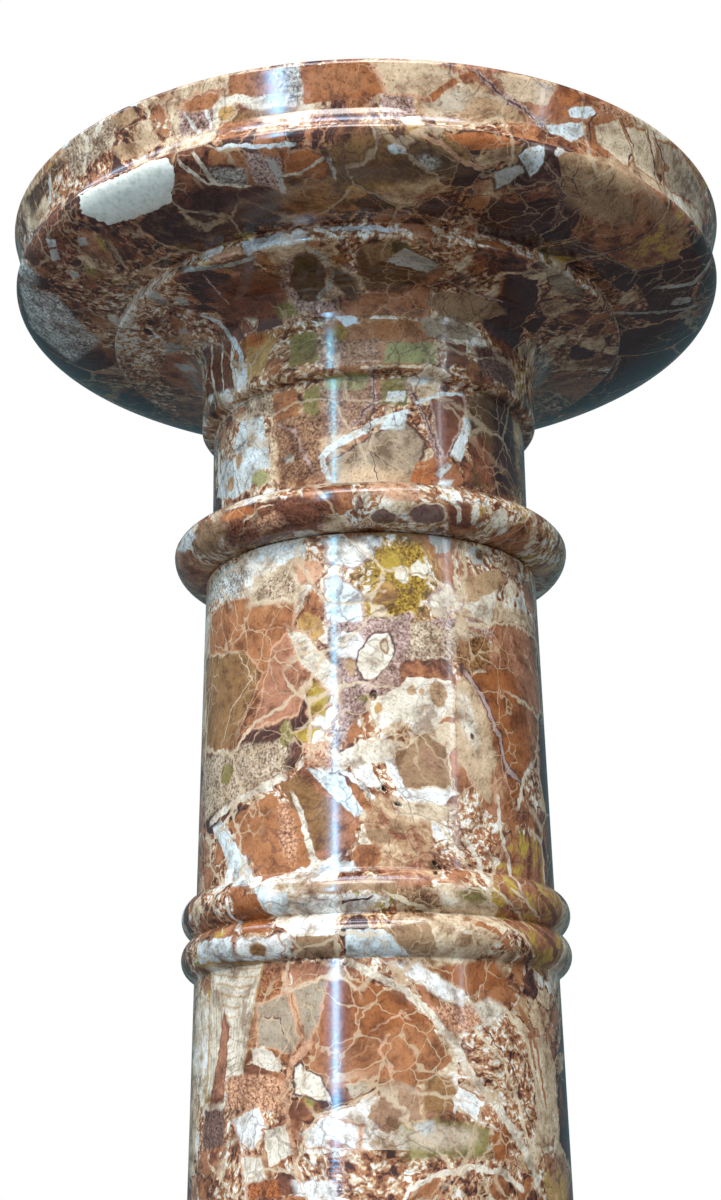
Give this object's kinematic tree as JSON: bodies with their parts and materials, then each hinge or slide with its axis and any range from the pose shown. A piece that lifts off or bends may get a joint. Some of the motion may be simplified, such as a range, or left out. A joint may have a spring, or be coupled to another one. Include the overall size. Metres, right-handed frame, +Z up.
{
  "type": "marble column",
  "caption": "Turned breccia marble pedestal column with a square plinth, moulded base, tapering shaft with a beaded ring, and a round moulded cap that carries a bust, vase or lamp.",
  "frame": {"origin": "centre of the plinth's underside, on the floor", "axes": "+Z up along the column's turning axis; +X and +Y square to the plinth's sides"},
  "size_m": [0.34, 0.34, 1.1],
  "materials": {
    "cap_marble": "polished",
    "shaft_marble": "polished",
    "base_marble": "polished",
    "plinth_marble": "polished"
  },
  "bodies": {
    "root": {"capital": "cap_marble", "shaft": "shaft_marble", "base": "base_marble", "plinth": "plinth_marble"}
  },
  "joints": []
}
